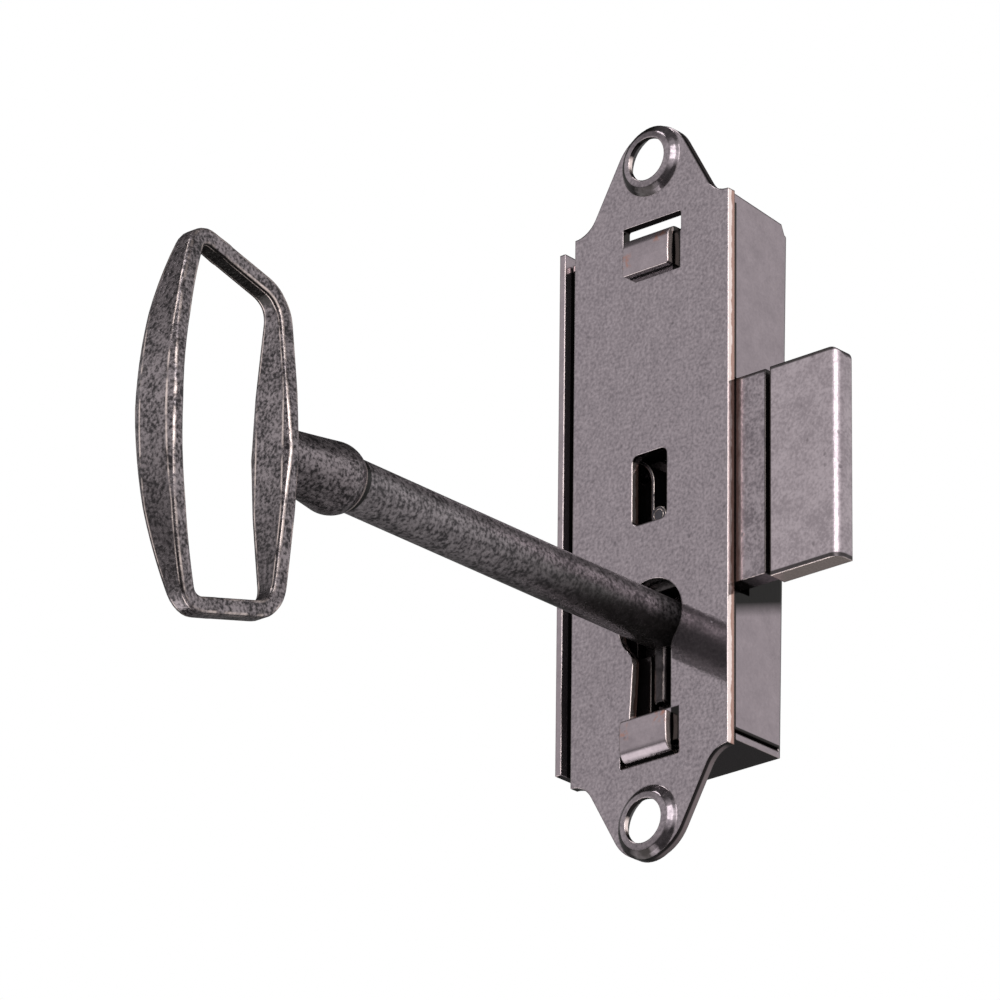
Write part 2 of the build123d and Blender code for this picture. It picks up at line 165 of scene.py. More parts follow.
def mix_value(tree, factor, a, b):
    inputs = {"Factor": factor, "A": a, "B": b}
    return add_node(tree, "ShaderNodeMix", inputs, data_type="FLOAT").outputs[0]


def between(tree, value, low, high, to_low=0.0, to_high=1.0):
    """Maps low to to_low and high to to_high."""
    inputs = {"Value": value, "From Min": low, "From Max": high, "To Min": to_low, "To Max": to_high}
    return add_node(tree, "ShaderNodeMapRange", inputs).outputs[0]


# %% [markdown]
# ## Background
# Metal is photographed between white sheets in a dim room. It mirrors the sheets in some directions and the
# room in others, and that contrast is what makes it look like metal. Camera rays see plain white. Rays that
# leave the metal see a white sheet under a dark ceiling. In front of the lock the sheet fades out near the
# horizon, and behind it the sheet fades slowly towards the ground. Two corners on the left are dark, one
# behind the lock and one low beside it. One bright card lies low on the left, and another hangs above the
# camera. All other rays get a soft plain level, so the light that falls on the lock doesn't depend on what
# it mirrors.

# %% World
WORLD_LEVEL = 0.6
ROOM_LEVEL = 0.04
SHEET_LEVEL = 1.08
FRONT_HEIGHTS = (-0.25, 0.3)
BACK_HEIGHTS = (-1.25, 0.2)
FRONT_TO_BACK = (-0.35, 0.1)
CEILING_HEIGHTS = (0.48, 0.66)
CEILING_SHARE = 0.08
DARK_CORNERS = (
    ((-0.68, 0.70, 0.20), 0.35, 0.85, 0.12),
    ((-0.70, 0.33, -0.64), 0.90, 0.97, 0.08),
)
CARDS = (
    ((-0.60, -0.40, -0.69), 0.76, 0.90, 2.4),
    ((0.60, -0.70, 0.39), 0.78, 0.94, 1.0),
)


def around(tree, direction, towards, start, full, to_start, to_full):
    """Gives to_full for rays close to one direction and to_start for rays far from it."""
    closeness = vector_node(tree, "DOT_PRODUCT", direction, towards)["Value"]
    return between(tree, closeness, start, full, to_start, to_full)


def make_world():
    world = bpy.data.worlds.new("studio")
    world.use_nodes = True
    tree = world.node_tree
    background = tree.nodes["Background"]
    background.inputs["Color"].default_value = (1, 1, 1, 1)
    rays = add_node(tree, "ShaderNodeLightPath").outputs
    direction = add_node(tree, "ShaderNodeTexCoord").outputs["Generated"]
    parts = axes(tree, direction)
    front = between(tree, parts["Z"], *FRONT_HEIGHTS, ROOM_LEVEL, SHEET_LEVEL)
    back = between(tree, parts["Z"], *BACK_HEIGHTS, ROOM_LEVEL, SHEET_LEVEL)
    room = mix_value(tree, between(tree, parts["Y"], *FRONT_TO_BACK), front, back)
    room = product(tree, room, between(tree, parts["Z"], *CEILING_HEIGHTS, 1.0, CEILING_SHARE))
    for towards, start, full, share in DARK_CORNERS:
        room = product(tree, room, around(tree, direction, towards, start, full, 1.0, share))
    for towards, start, full, level in CARDS:
        card = around(tree, direction, towards, start, full, 0.0, level)
        room = math_node(tree, "ADD", room, card)
    mirrored = math_node(tree, "MAXIMUM", rays["Is Glossy Ray"], rays["Is Transmission Ray"])
    level = mix_value(tree, mirrored, WORLD_LEVEL, room)
    seen = mix_value(tree, rays["Is Camera Ray"], level, 1.0)
    tree.links.new(seen, background.inputs["Strength"])
    bpy.context.scene.world = world
    return world


world = make_world()
bpy.context.scene.view_settings.view_transform = "Standard"
print("world:", world.name, "level", WORLD_LEVEL)

# %% [markdown]
# ## Floor
# The camera looks up from under the floor's level, so a plain floor would hide the lock. Its material is
# see-through from below and pale from above, where the other views see it with the lock's shadow. Only
# camera rays meet it: light from the room reaches the lock's underside as it would on a stand.

# %% Floor
FLOOR_DROP = 6 * MM
FLOOR_HALF = 4.0
FLOOR_COLOUR = (0.9, 0.9, 0.9, 1)


def make_floor():
    low = cad_box[0].z - FLOOR_DROP
    mesh = bpy.data.meshes.new("floor")
    signs = ((-1, -1), (1, -1), (1, 1), (-1, 1))
    mesh.from_pydata([(x * FLOOR_HALF, y * FLOOR_HALF, low) for x, y in signs], [], [(0, 1, 2, 3)])
    floor = new_object("floor", mesh)
    material = bpy.data.materials.new("floor")
    material.use_nodes = True
    tree = material.node_tree
    tree.nodes.remove(tree.nodes["Principled BSDF"])
    seen = add_node(tree, "ShaderNodeLightPath").outputs["Is Camera Ray"]
    below = add_node(tree, "ShaderNodeNewGeometry").outputs["Backfacing"]
    solid = product(tree, seen, minus(tree, 1.0, below))
    pale = add_node(tree, "ShaderNodeBsdfDiffuse", {"Color": FLOOR_COLOUR})
    clear = add_node(tree, "ShaderNodeBsdfTransparent")
    mix = add_node(tree, "ShaderNodeMixShader", {0: solid, 1: clear.outputs[0], 2: pale.outputs[0]})
    tree.links.new(mix.outputs[0], tree.nodes["Material Output"].inputs["Surface"])
    mesh.materials.append(material)
    return floor


floor = make_floor()
print("floor at", round(floor.data.vertices[0].co.z / MM, 1), "mm")

# %% [markdown]
# ## Lamps
# The light comes from high on the left. A second lamp on the camera's side gives the bright line along
# every rounded edge that faces between the front and the right. Both are discs three metres away.

# %% Lamps
LAMP_DISTANCE = 3.0


def add_lamp(name, towards, size, power):
    direction = Vector(towards).normalized()
    data = bpy.data.lights.new(name, "AREA")
    data.shape = "DISK"
    data.size = size
    data.energy = power
    lamp = new_object(name, data)
    lamp.location = direction * LAMP_DISTANCE
    lamp.rotation_euler = direction.to_track_quat("Z", "Y").to_euler()
    return lamp


main_lamp = add_lamp("main_lamp", (-0.30, -0.55, 0.78), size=1.0, power=14.0)
side_lamp = add_lamp("side_lamp", (0.55, -0.74, 0.39), size=1.9, power=24.0)
print("lamps:", main_lamp.name, side_lamp.name)

# %% [markdown]
# ## Shared effects
# Old plated steel shows the same few things everywhere: a blotchy skin, tiny pits, fine lines from the
# mill, and bright metal where edges have rubbed, while the corners get painted shade mixed with dirt. Each
# one is a node group that reads object coordinates. These are metres here, so a noise scale of 1000 gives
# spots of about a millimetre.

# %% Group maker
def new_group(name, inputs, outputs):
    tree = bpy.data.node_groups.new(name, "ShaderNodeTree")
    for label, value in inputs.items():
        kind = "NodeSocketFloat"
        if isinstance(value, tuple):
            kind = "NodeSocketColor" if len(value) == 4 else "NodeSocketVector"
        tree.interface.new_socket(label, in_out="INPUT", socket_type=kind).default_value = value
    for label, kind in outputs.items():
        tree.interface.new_socket(label, in_out="OUTPUT", socket_type=kind)
    return tree, add_node(tree, "NodeGroupInput"), add_node(tree, "NodeGroupOutput")


def object_place(tree):
    return add_node(tree, "ShaderNodeTexCoord").outputs["Object"]


def noise(tree, place, scale, detail, roughness):
    inputs = {"Vector": place, "Scale": scale, "Detail": detail, "Roughness": roughness}
    return add_node(tree, "ShaderNodeTexNoise", inputs).outputs["Fac"]


def patches(tree, per_metre, low, high, to_low=0.0, to_high=1.0, detail=3.0, roughness=0.6):
    """Gives a noise in object coordinates, changed from one range to another."""
    spots = noise(tree, object_place(tree), per_metre, detail, roughness)
    return between(tree, spots, low, high, to_low, to_high)


def mix_colour(tree, factor, first, second):
    """Mixes two colours. The node's inputs 6 and 7 and its output 2 are those for colours."""
    return add_node(tree, "ShaderNodeMix", {0: factor, 6: first, 7: second}, data_type="RGBA").outputs[2]


# %% [markdown]
# The skin mixes two colours by two layers of noise: clouds of a millimetre or more, and specks of a third
# of a millimetre. The speck layer is what makes the cast key look grainy and the sheet metal look smooth.

# %% Blotchy skin
CLOUDS_PER_METRE = 600.0
CLOUD_STRENGTH = 2.2
SPECK_STRENGTH = 3.4


def make_skin_group():
    tree, given, out = new_group(
        "plated_skin",
        {
            "Light": (0.3, 0.28, 0.29, 1.0), "Dark": (0.2, 0.19, 0.2, 1.0),
            "Speck Size": 0.0003, "Clouds": 1.0, "Specks": 1.0,
        },
        {"Color": "NodeSocketColor", "Mask": "NodeSocketFloat"},
    )
    place = object_place(tree)
    clouds = minus(tree, noise(tree, place, CLOUDS_PER_METRE, 3.0, 0.6), 0.5)
    finer = math_node(tree, "DIVIDE", 1.0, given.outputs["Speck Size"])
    specks = minus(tree, noise(tree, place, finer, 2.0, 0.55), 0.5)
    clouds = product(tree, clouds, given.outputs["Clouds"], CLOUD_STRENGTH)
    specks = product(tree, specks, given.outputs["Specks"], SPECK_STRENGTH)
    mask = math_node(tree, "ADD", math_node(tree, "ADD", clouds, specks), 0.5, clamp=True)
    colour = mix_colour(tree, mask, given.outputs["Dark"], given.outputs["Light"])
    tree.links.new(colour, out.inputs["Color"])
    tree.links.new(mask, out.inputs["Mask"])
    return tree


skin_group = make_skin_group()
print("group:", skin_group.name)

# %% [markdown]
# Pits are small dark dents. A Voronoi texture gives round cells, and only the core of some cells is kept.

# %% Pits
PIT_CORE = (0.34, 0.12)


def make_pit_group():
    tree, given, out = new_group(
        "pits",
        {"Cells Per Metre": 1600.0, "Share": 0.35},
        {"Mask": "NodeSocketFloat"},
    )
    inputs = {"Vector": object_place(tree), "Scale": given.outputs["Cells Per Metre"]}
    cells = add_node(tree, "ShaderNodeTexVoronoi", inputs).outputs
    chance = add_node(tree, "ShaderNodeSeparateColor", {"Color": cells["Color"]}).outputs[0]
    picked = math_node(tree, "LESS_THAN", chance, given.outputs["Share"])
    core = between(tree, cells["Distance"], *PIT_CORE)
    tree.links.new(product(tree, core, picked), out.inputs["Mask"])
    return tree


pit_group = make_pit_group()
print("group:", pit_group.name)

# %% [markdown]
# Worn edges: the Bevel node gives the normal that a rounded edge would have. Where it differs from the flat
# face's own normal there is an edge, and a noise breaks the line up as real rubbing does. The rounded
# normal is handed on as well, so that the same edges catch the light.

# %% Worn edges
EDGE_AGREEMENT = (0.985, 0.86)
EDGE_BREAKS = (900.0, 0.34, 0.52)
EDGE_SAMPLES = 8


def make_edge_group():
    tree, given, out = new_group(
        "worn_edges",
        {"Width": 0.00018, "Amount": 1.0},
        {"Mask": "NodeSocketFloat", "Normal": "NodeSocketVector"},
    )
    inputs = {"Radius": given.outputs["Width"]}
    rounded = add_node(tree, "ShaderNodeBevel", inputs, samples=EDGE_SAMPLES).outputs[0]
    plain = add_node(tree, "ShaderNodeNewGeometry").outputs["Normal"]
    agreement = vector_node(tree, "DOT_PRODUCT", rounded, plain)["Value"]
    edge = between(tree, agreement, *EDGE_AGREEMENT)
    broken = patches(tree, *EDGE_BREAKS, detail=4.0, roughness=0.65)
    mask = math_node(tree, "MULTIPLY", product(tree, edge, broken), given.outputs["Amount"], clamp=True)
    tree.links.new(mask, out.inputs["Mask"])
    tree.links.new(rounded, out.inputs["Normal"])
    return tree


edge_group = make_edge_group()
print("group:", edge_group.name)

# %% [markdown]
# Rolled and drawn metal carries fine lines. The coordinates are squeezed along the lines' direction, so a
# noise turns into streaks.

# %% Mill lines
def make_line_group():
    tree, given, out = new_group(
        "mill_lines",
        {"Squeeze": (1.0, 1.0, 0.05), "Lines Per Metre": 7000.0},
        {"Height": "NodeSocketFloat"},
    )
    stretched = vector_node(tree, "MULTIPLY", object_place(tree), given.outputs["Squeeze"])[0]
    lines = noise(tree, stretched, given.outputs["Lines Per Metre"], 2.0, 0.5)
    tree.links.new(lines, out.inputs["Height"])
    return tree


line_group = make_line_group()
print("group:", line_group.name)

# %% [markdown]
# Painted shade, mixed with dirt, darkens the colour where two surfaces meet. The Ambient Occlusion node is
# dark there, and a noise keeps the darkening from looking like a drawn line.

# %% Painted shade and dirt in corners
CORNER_OPENNESS = (0.75, 0.3)
CORNER_SHADE_PATCHES = (1300.0, 0.3, 0.55, 0.55, 1.0)
CORNER_SAMPLES = 8


def make_corner_shade_group():
    tree, given, out = new_group(
        "corner_shade_and_dirt",
        {"Reach": 0.0006, "Amount": 1.0},
        {"Mask": "NodeSocketFloat"},
    )
    inputs = {"Distance": given.outputs["Reach"]}
    openness = add_node(tree, "ShaderNodeAmbientOcclusion", inputs, samples=CORNER_SAMPLES).outputs["AO"]
    closed = between(tree, openness, *CORNER_OPENNESS)
    uneven = patches(tree, *CORNER_SHADE_PATCHES)
    mask = math_node(tree, "MULTIPLY", product(tree, closed, uneven), given.outputs["Amount"], clamp=True)
    tree.links.new(mask, out.inputs["Mask"])
    return tree


corner_shade_group = make_corner_shade_group()
print("group:", corner_shade_group.name)

# %% [markdown]
# Some marks have a fixed place: painted shade inside the case, a painted shadow under the bolt, copper
# showing through on a tab. A soft-edged box in object coordinates says where, with its middle, its half
# size and how soft it is.

# %% Boxes for local marks
def make_zone_group():
    tree, given, out = new_group(
        "soft_box",
        {"Middle": (0.0, 0.0, 0.0), "Half Size": (0.001, 0.001, 0.001), "Softness": 0.0002},
        {"Mask": "NodeSocketFloat"},
    )
    away = vector_node(tree, "SUBTRACT", object_place(tree), given.outputs["Middle"])[0]
    away = vector_node(tree, "ABSOLUTE", away)[0]
    parts = axes(tree, vector_node(tree, "SUBTRACT", away, given.outputs["Half Size"])[0])
    most = math_node(tree, "MAXIMUM", math_node(tree, "MAXIMUM", parts[0], parts[1]), parts[2])
    fade = math_node(tree, "DIVIDE", most, given.outputs["Softness"])
    tree.links.new(math_node(tree, "SUBTRACT", 1.0, fade, clamp=True), out.inputs["Mask"])
    return tree


zone_group = make_zone_group()
print("group:", zone_group.name)

# %% [markdown]
# ## Finishes
# Each kind of surface has its own steel, but all are built in one way: the blotchy skin, darker in the
# pits, with painted shade in the corners, brighter on rubbed edges, with lines and pits pressed into the
# surface by a Bump node. How metallic a steel is stays the same all over, so that number goes straight to
# the shader. Boxes for marks are given by two corners and a softness, in millimetres.

# %% Colours and boxes
def use_group(tree, group, values):
    return add_node(tree, "ShaderNodeGroup", values, node_tree=group).outputs


def grey(r, g, b):
    return tuple((c / 255) ** 2.2 for c in (r, g, b)) + (1.0,)


def scaled(colour, factor):
    return tuple(c * factor for c in colour[:3]) + (1.0,)


def zone(tree, low, high, softness):
    """Gives the mask of a soft box between two corners."""
    middle = tuple((a + b) / 2 * MM for a, b in zip(low, high))
    half = tuple((b - a) / 2 * MM for a, b in zip(low, high))
    values = {"Middle": middle, "Half Size": half, "Softness": softness * MM}
    return use_group(tree, zone_group, values)["Mask"]


BARE = grey(226, 208, 202)
CUT_METAL = grey(232, 214, 210)
CUT_BROWN = grey(166, 132, 122)
# A dark colour for painted shade, on cut edges and on the bow.
PAINTED_DARK_SHADE = grey(40, 36, 37)
CUT_DULL = grey(128, 116, 118)
COPPER = grey(152, 112, 102)
# The painted shade: its colour, a deeper one, and how far it covers.
PAINTED_SHADE = grey(40, 37, 36)
DEEPER_PAINTED_SHADE = scaled(PAINTED_SHADE, 0.4)
PAINTED_SHADE_COVER = 0.9

# %% [markdown]
# The list holds what all steels share, and a steel names only the numbers that differ. Widths and the reach
# of the painted corner shade are in millimetres, pits are counted in cells per metre, and depths are shares
# of the relief.

# %% Steel maker
STEEL = {
    "metallic": 0.85, "roughness": 0.22, "speck": 0.3, "clouds": 1.0, "specks": 0.5,
    "pits": 0.1, "pit_cells": 1600.0, "pit_depth": 0.4, "squeeze": (1.0, 1.0, 0.05), "line_depth": 0.1,
    "skin_depth": 0.15, "edge_width": 0.2, "edge_amount": 0.6, "dirt_reach": 0.5,
}
CORNER_SHADE_AMOUNT = 0.8
CORNER_SHADE_TONE = 0.1
CORNER_ROUGHNESS = 0.4
PIT_AMOUNT = 0.5
PIT_SHADE = 0.4
ROUGHNESS_SPREAD = 0.04
BUMP_STRENGTH = 0.5
BUMP_DISTANCE = 0.06 * MM


def make_steel(name, light, dark, marks=None, **changes):
    """Builds a steel. Marks is a function that adds the piece's own marks to the colour."""
    look = {**STEEL, **changes}
    material = bpy.data.materials.new(name)
    material.use_nodes = True
    tree = material.node_tree
    shader = tree.nodes["Principled BSDF"]
    shader.inputs["Metallic"].default_value = look["metallic"]
    skin = use_group(tree, skin_group, {
        "Light": light, "Dark": dark, "Speck Size": look["speck"] * MM,
        "Clouds": look["clouds"], "Specks": look["specks"],
    })
    values = {"Cells Per Metre": look["pit_cells"], "Share": look["pits"]}
    pit = use_group(tree, pit_group, values)["Mask"]
    values = {"Width": look["edge_width"] * MM, "Amount": look["edge_amount"]}
    edge = use_group(tree, edge_group, values)
    mill = use_group(tree, line_group, {"Squeeze": look["squeeze"]})["Height"]
    values = {"Reach": look["dirt_reach"] * MM, "Amount": CORNER_SHADE_AMOUNT}
    dirt = use_group(tree, corner_shade_group, values)["Mask"]
    colour = mix_colour(tree, product(tree, pit, PIT_AMOUNT), skin["Color"], scaled(dark, PIT_SHADE))
    colour = mix_colour(tree, edge["Mask"], colour, BARE)
    if marks:
        colour = marks(tree, colour)
    # Painted shade, mixed with dirt, darkens the corners.
    colour = mix_colour(tree, dirt, colour, scaled(dark, CORNER_SHADE_TONE))
    tree.links.new(colour, shader.inputs["Base Color"])
    on_dark = look["roughness"] + ROUGHNESS_SPREAD
    on_light = look["roughness"] - ROUGHNESS_SPREAD
    rough = between(tree, skin["Mask"], 0.0, 1.0, on_dark, on_light)
    rough = math_node(tree, "ADD", rough, product(tree, dirt, CORNER_ROUGHNESS))
    tree.links.new(rough, shader.inputs["Roughness"])
    relief = product(tree, mill, look["line_depth"])
    relief = minus(tree, relief, product(tree, pit, look["pit_depth"]))
    relief = math_node(tree, "ADD", relief, product(tree, skin["Mask"], look["skin_depth"]))
    bump = add_node(tree, "ShaderNodeBump", {
        "Height": relief, "Strength": BUMP_STRENGTH, "Distance": BUMP_DISTANCE, "Normal": edge["Normal"],
    })
    tree.links.new(bump.outputs[0], shader.inputs["Normal"])
    return material


# %% [markdown]
# ## Marks of the front plate
# The plate is sheared from sheet. Cut edges that look to the right show bare pinkish metal, browner in
# their rear half, where the sheet broke off. The other cut edges get painted shade, darkest at the front.
# The rings round the screw holes are pressed, and their slopes get painted shade, apart from those that
# look to the right.
# The tab slots get painted shade inside, and so does a small strip beside each tab, where the plate would
# mirror the tab.

# %% Plate marks
TAB_SLOTS = (
    ((-3.4, -0.1, 22.3), (3.4, 1.0, 24.7), 0.05), ((-3.4, -0.1, -24.9), (3.4, 1.0, -23.2), 0.05),
)
BESIDE_TABS = (
    ((2.5, -0.1, 19.2), (3.25, 0.1, 22.5), 0.08), ((2.5, -0.1, -24.0), (3.3, 0.1, -20.5), 0.08),
)
SHEAR_DEPTHS = (0.3 * MM, 0.42 * MM)
SHADE_DEPTHS = (0.28 * MM, 0.42 * MM)
SHEAR_WANDER = 0.5 * MM
SHEAR_PATCHES = (900.0, 0.35, 0.6, 0.0, 0.35)
RING_PATCHES = (700.0, 0.4, 0.65, 0.98, 0.85)
EDGE_ON = (0.25, 0.1)
SLOPING = (0.995, 0.95)
TO_RIGHT = (0.9, 0.97)
NOT_TO_RIGHT = (0.3, 0.1)


def facing(tree, axis):
    """Gives how much a surface looks along an axis, from -1 to 1."""
    normal = add_node(tree, "ShaderNodeNewGeometry").outputs["Normal"]
    return axes(tree, normal)[axis]


def facing_y(tree):
    """Gives how much a surface looks to the front or to the back, from 0 to 1."""
    return math_node(tree, "ABSOLUTE", facing(tree, "Y"))


def plate_marks(tree, colour):
    cut = between(tree, facing_y(tree), *EDGE_ON)
    to_right = between(tree, facing(tree, "X"), *TO_RIGHT)
    depth = axes(tree, object_place(tree))["Y"]
    wander = product(tree, patches(tree, *SHEAR_PATCHES), SHEAR_WANDER)
    broken_off = between(tree, minus(tree, depth, wander), *SHEAR_DEPTHS)
    bare = mix_colour(tree, broken_off, CUT_METAL, CUT_BROWN)
    # Cut edges that don't look to the right get painted shade, darkest at the front.
    shaded = mix_colour(tree, between(tree, depth, *SHADE_DEPTHS), PAINTED_DARK_SHADE, CUT_DULL)
    colour = mix_colour(tree, cut, colour, shaded)
    colour = mix_colour(tree, product(tree, cut, to_right), colour, bare)
    # Painted shade on the ring slopes that don't look to the right.
    sloping = between(tree, facing_y(tree), *SLOPING)
    shaded_side = between(tree, facing(tree, "X"), *NOT_TO_RIGHT)
    ring_shade = product(tree, sloping, shaded_side, patches(tree, *RING_PATCHES))
    colour = mix_colour(tree, ring_shade, colour, PAINTED_SHADE)
    # Painted shade inside the tab slots, and a deeper one beside each tab.
    for box in TAB_SLOTS:
        colour = mix_colour(tree, product(tree, zone(tree, *box), cut), colour, PAINTED_SHADE)
    for box in BESIDE_TABS:
        colour = mix_colour(tree, zone(tree, *box), colour, DEEPER_PAINTED_SHADE)
    return colour


# %% [markdown]
# ## Marks of the case
# Inside, the case gets painted shade, and so do the seam behind the plate, the edge of the bottom wall and
# surfaces that look down. The sheet's cut edges at the front and the tabs' right sides are bare. Under the
# bolt a painted shadow darkens the outer wall, and on the folded tabs the plating is rubbed through to
# copper.

# %% Case marks
CASE_INSIDE = ((-9.57, 0.8, -23.83), (7.82, 7.62, 22.67), 0.03)
CASE_FRONT = ((-11, 0.7, -25), (9, 0.95, 26), 0.05)
TAB_SIDES = ((2.4, -1.4, -25), (2.7, -0.08, 25), 0.05)
CASE_DARK = (
    ((8.0, 0.84, -25), (8.6, 1.22, 24), 0.08),
    ((2.4, -0.02, -25), (2.7, 1.2, 25), 0.04),
    ((8.0, 1.0, -23.6), (8.6, 9.0, -23.28), 0.05),
)
BOLT_SHADOW_BOX = ((8.0, 0.8, -16.5), (8.6, 9.0, -7.5), 0.3)
BOLT_SHADOW_LINE = (-14.0 * MM, -12.7 * MM)
BOLT_SHADOW_SLOPE = 0.33
COPPER_SPOTS = (
    ((-2.3, -1.0, 20.6), (-1.8, -0.5, 21.3), 0.4), ((1.2, -1.0, 22.2), (2.1, -0.5, 22.8), 0.4),
    ((-2.3, -1.0, -22.3), (-1.8, -0.5, -21.3), 0.4), ((1.5, -1.0, -21.7), (2.3, -0.5, -21.0), 0.4),
)
COPPER_PATCHES = (2200.0, 0.46, 0.66)
FACE_ON = (0.8, 0.95)
DOWNWARDS = (-0.7, -0.95)
DOWNWARD_COVER = 0.8
NOT_BACKWARDS = (0.9, 0.7)


def case_marks(tree, colour):
    rim = product(tree, between(tree, facing_y(tree), *FACE_ON), zone(tree, *CASE_FRONT))
    side = product(tree, between(tree, facing(tree, "X"), *TO_RIGHT), zone(tree, *TAB_SIDES))
    for mask in (rim, side):
        colour = mix_colour(tree, mask, colour, CUT_METAL)
    # Painted shade in the seam behind the plate, beside the tab inside its slot and along the bottom wall's
    # edge.
    for box in CASE_DARK:
        colour = mix_colour(tree, zone(tree, *box), colour, PAINTED_SHADE)
    # Painted shade on surfaces that look down.
    below = between(tree, facing(tree, "Z"), *DOWNWARDS, 0.0, DOWNWARD_COVER)
    colour = mix_colour(tree, below, colour, PAINTED_SHADE)
    blot = patches(tree, *COPPER_PATCHES)
    for box in COPPER_SPOTS:
        colour = mix_colour(tree, product(tree, zone(tree, *box), blot), colour, COPPER)
    # Painted shadow of the bolt on the outer wall, its lower line sloping with depth.
    place = axes(tree, object_place(tree))
    level = minus(tree, place["Z"], product(tree, place["Y"], BOLT_SHADOW_SLOPE))
    bolt_shadow = product(tree, between(tree, level, *BOLT_SHADOW_LINE), zone(tree, *BOLT_SHADOW_BOX))
    colour = mix_colour(tree, bolt_shadow, colour, DEEPER_PAINTED_SHADE)
    # Painted shade inside the case.
    inner = between(tree, facing(tree, "Y"), *NOT_BACKWARDS, 0.0, PAINTED_SHADE_COVER)
    return mix_colour(tree, product(tree, zone(tree, *CASE_INSIDE), inner), colour, PAINTED_SHADE)


# %% [markdown]
# ## Marks of the bolt
# The part of the bolt that stays in the case gets painted shade, and so do the seam between tail and head,
# the bolt's top edge and the head's bottom edge. The head's underside is rubbed bright by the strike.

# %% Bolt marks
BOLT_DARK = (
    ((-12, 0, -25), (9.1, 9, 25), 0.2),
    ((11.72, 0, -25), (12.38, 9, 25), 0.05),
    ((-12, 0, 7.58), (21, 9, 9), 0.12),
    ((12.2, 0, -10.9), (21, 9, -10.65), 0.1),
)
HEAD_UNDER = ((12.4, 0, -11.2), (20, 9, -10.9), 0.1)
UNDERSIDE = (-0.5, -0.9)


def bolt_marks(tree, colour):
    # Painted shade on the part inside the case, in the seam between tail and head and along the top and
    # bottom edges.
    for box in BOLT_DARK:
        colour = mix_colour(tree, product(tree, zone(tree, *box), PAINTED_SHADE_COVER), colour, PAINTED_SHADE)
    under = product(tree, between(tree, facing(tree, "Z"), *UNDERSIDE), zone(tree, *HEAD_UNDER))
    return mix_colour(tree, under, colour, BARE)


# %% [markdown]
# ## Marks of the cast key
# The ridges and edges of the bow are rubbed bright by the fingers, and that brightness also stands in for
# the highlight along them. The sweep that makes the bow stores two attributes, and a piece that has none
# simply gets zero. The bow gets painted shade low on its broad sides and under its top bar, and a painted
# highlight on the mouth of the socket. The shaft gets painted shade on its underside near the plate and in
# the seam at the socket.

# %% Key marks
SOCKET_MOUTH = ((-4, -37.85, -17), (4, -37.58, -8), 0.1)
MOUTH_HIGHLIGHT = 0.7
SHAFT_SEAM = ((-4, -37.7, -17), (4, -36.9, -8), 0.08)
SHAFT_SHADE = (-22.0 * MM, -9.0 * MM)
SHAFT_BELOW = (0.15, -0.45)
BOW_LOW = (-12.0 * MM, -27.0 * MM)
BROAD_SIDE = (0.5, 0.9)
LOW_DARKNESS = 0.65
BOW_TOP = ((-4, -55, -4), (4, -40, 10), 2.0)
BAR_BELOW = (-0.3, -0.8)
RUBBED_AND_LIT_LINES = (("ridge", 0.42, 0.56), ("rim", 0.44, 0.62))
LIT_RUBBED_PER_METRE = 420.0


def shaft_marks(tree, colour):
    # Painted shade on the shaft's underside near the plate, and in the seam at the socket.
    near = between(tree, axes(tree, object_place(tree))["Y"], *SHAFT_SHADE)
    below = between(tree, facing(tree, "Z"), *SHAFT_BELOW)
    colour = mix_colour(tree, product(tree, near, below, PAINTED_SHADE_COVER), colour, PAINTED_SHADE)
    return mix_colour(tree, zone(tree, *SHAFT_SEAM), colour, DEEPER_PAINTED_SHADE)


def cast_marks(tree, colour):
    # Painted shade low on the bow's broad sides and under its top bar.
    low_down = between(tree, axes(tree, object_place(tree))["Z"], *BOW_LOW)
    broad = between(tree, facing_y(tree), *BROAD_SIDE)
    colour = mix_colour(tree, product(tree, low_down, broad, LOW_DARKNESS), colour, PAINTED_DARK_SHADE)
    under = product(tree, between(tree, facing(tree, "Z"), *BAR_BELOW), zone(tree, *BOW_TOP))
    colour = mix_colour(tree, under, colour, PAINTED_SHADE)
    # Painted highlight on the socket's mouth.
    mouth = product(tree, zone(tree, *SOCKET_MOUTH), MOUTH_HIGHLIGHT)
    colour = mix_colour(tree, mouth, colour, BARE)
    # Rubbed bright ridges and edges, whose brightness also stands in for their highlight.
    for label, low, high in RUBBED_AND_LIT_LINES:
        line = add_node(tree, "ShaderNodeAttribute", attribute_name=label).outputs["Fac"]
        rubbed_and_lit = product(tree, line, patches(tree, LIT_RUBBED_PER_METRE, low, high, detail=4.0))
        colour = mix_colour(tree, rubbed_and_lit, colour, BARE)
    return colour


# %% [markdown]
# ## The steels
# There are nine finishes, one for each kind of surface. The two greys of a finish are its light and dark
# skin.

# %% Steels
plate_steel = make_steel(
    "plate_steel", grey(147, 137, 142), grey(113, 105, 110), plate_marks,
    roughness=0.07, edge_amount=0.2, specks=0.8, clouds=0.4, pits=0.08, dirt_reach=0.35,
    skin_depth=0.04, line_depth=0.03, pit_depth=0.2,
)
case_steel = make_steel(
    "case_steel", grey(146, 135, 140), grey(131, 121, 126), case_marks,
    roughness=0.18, edge_amount=0.35, specks=0.35, clouds=0.8, pits=0.05,
)
bolt_steel = make_steel(
    "bolt_steel", grey(160, 149, 154), grey(136, 126, 131), bolt_marks,
    roughness=0.2, specks=0.8, pits=0.08, edge_width=0.15,
)
tail_steel = make_steel(
    "tail_steel", grey(144, 134, 139), grey(104, 96, 101), bolt_marks,
    roughness=0.2, specks=0.8, pits=0.12, edge_width=0.15,
)
stud_steel = make_steel("stud_steel", grey(152, 143, 146), grey(104, 97, 99), pits=0.15)
spring_steel = make_steel(
    "spring_steel", grey(64, 62, 66), grey(44, 43, 47), pits=0.0, edge_width=0.12, edge_amount=0.9,
)
